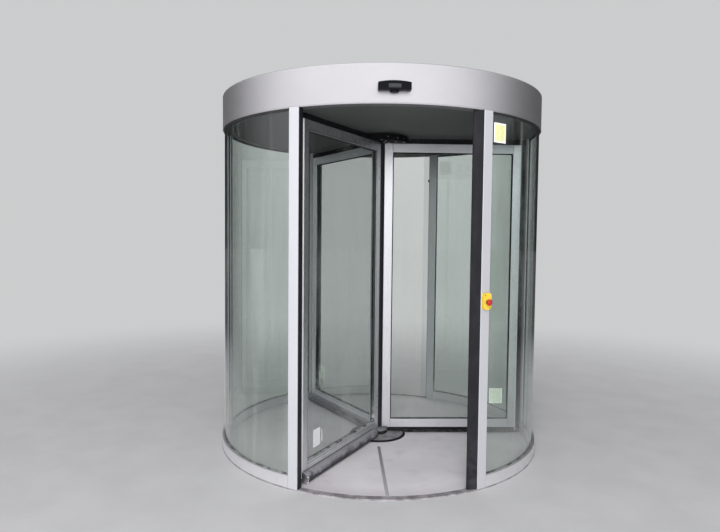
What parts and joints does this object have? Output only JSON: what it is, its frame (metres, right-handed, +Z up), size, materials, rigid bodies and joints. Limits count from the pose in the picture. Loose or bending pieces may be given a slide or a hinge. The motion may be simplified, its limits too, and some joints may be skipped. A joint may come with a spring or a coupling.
{
  "type": "revolving door",
  "caption": "Automatic revolving door: a glazed drum with a ring canopy and three framed glass wings on a centre column.",
  "frame": {"origin": "on the turning axis, at the underside of the floor ring and slab", "axes": "+Z up along the turning axis, -Y towards the street side, +X to the right seen from the street"},
  "size_m": [2.266, 2.336, 2.426],
  "materials": {
    "silver_frame": "satin anodised",
    "canopy_metal": "satin anodised sheet",
    "head_metal": "dark satin",
    "ring_steel": "worn satin",
    "cover_metal": "dusty satin",
    "dark_metal": "satin black",
    "ceiling_paint": "matt charcoal",
    "shaft_steel": "machined",
    "floor_stone": "honed, dusty",
    "wall_glass": "clear, slightly green",
    "wing_glass": "clear, slightly green",
    "edge_rubber": "matt black",
    "bumper_rubber": "dusty dark grey",
    "brush_bristle": "black bristles",
    "sensor_plastic": "gloss black",
    "stop_yellow": "semi-gloss yellow",
    "stop_red": "semi-gloss red"
  },
  "bodies": {
    "drum": {"floor_ring": "ring_steel", "floor_slab": "floor_stone", "floor_bearing_cover": "cover_metal", "base_rail_front_right": "silver_frame", "base_rail_rear_right": "silver_frame", "base_rail_rear_left": "silver_frame", "base_rail_front_left": "silver_frame", "wall_glass_front_right": "wall_glass", "wall_glass_rear_right": "wall_glass", "wall_glass_rear_left": "wall_glass", "wall_glass_front_left": "wall_glass", "post_front_right": "silver_frame", "post_rear_right": "silver_frame", "post_rear_left": "silver_frame", "post_front_left": "silver_frame", "side_mullion_right": "silver_frame", "side_mullion_left": "silver_frame", "safety_edge_front": "edge_rubber", "safety_edge_rear": "edge_rubber", "post_seals": "edge_rubber", "head_ring_front": "head_metal", "head_ring_rear": "head_metal", "canopy_front": "canopy_metal", "canopy_rear": "canopy_metal", "ceiling": "ceiling_paint", "roof_cover": "canopy_metal", "top_bearing_plate": "dark_metal", "sensor_front": "sensor_plastic", "sensor_rear": "sensor_plastic", "stop_housing": "stop_yellow"},
    "rotor": {"centre_column": "dark_metal", "rotor_hubs": "dark_metal", "rotor_shafts": "shaft_steel", "wing_a_stiles": "silver_frame", "wing_a_rails": "silver_frame", "wing_a_glass": "wing_glass", "wing_a_bumper": "bumper_rubber", "wing_a_brushes": "brush_bristle", "wing_b_stiles": "silver_frame", "wing_b_rails": "silver_frame", "wing_b_glass": "wing_glass", "wing_b_bumper": "bumper_rubber", "wing_b_brushes": "brush_bristle", "wing_c_stiles": "silver_frame", "wing_c_rails": "silver_frame", "wing_c_glass": "wing_glass", "wing_c_bumper": "bumper_rubber", "wing_c_brushes": "brush_bristle"},
    "stop_button": {"stop_button": "stop_red"}
  },
  "joints": [
    {"name": "rotor_turn", "type": "hinge", "parent": "drum", "child": "rotor", "pos_m": [0, 0, 0.008], "axis": [0, 0, 1], "continuous": true},
    {"name": "stop_button_press", "type": "slide", "parent": "drum", "child": "stop_button", "axis": [-0.4904, 0.8715, 0], "range_m": [0, 0.004]}
  ]
}
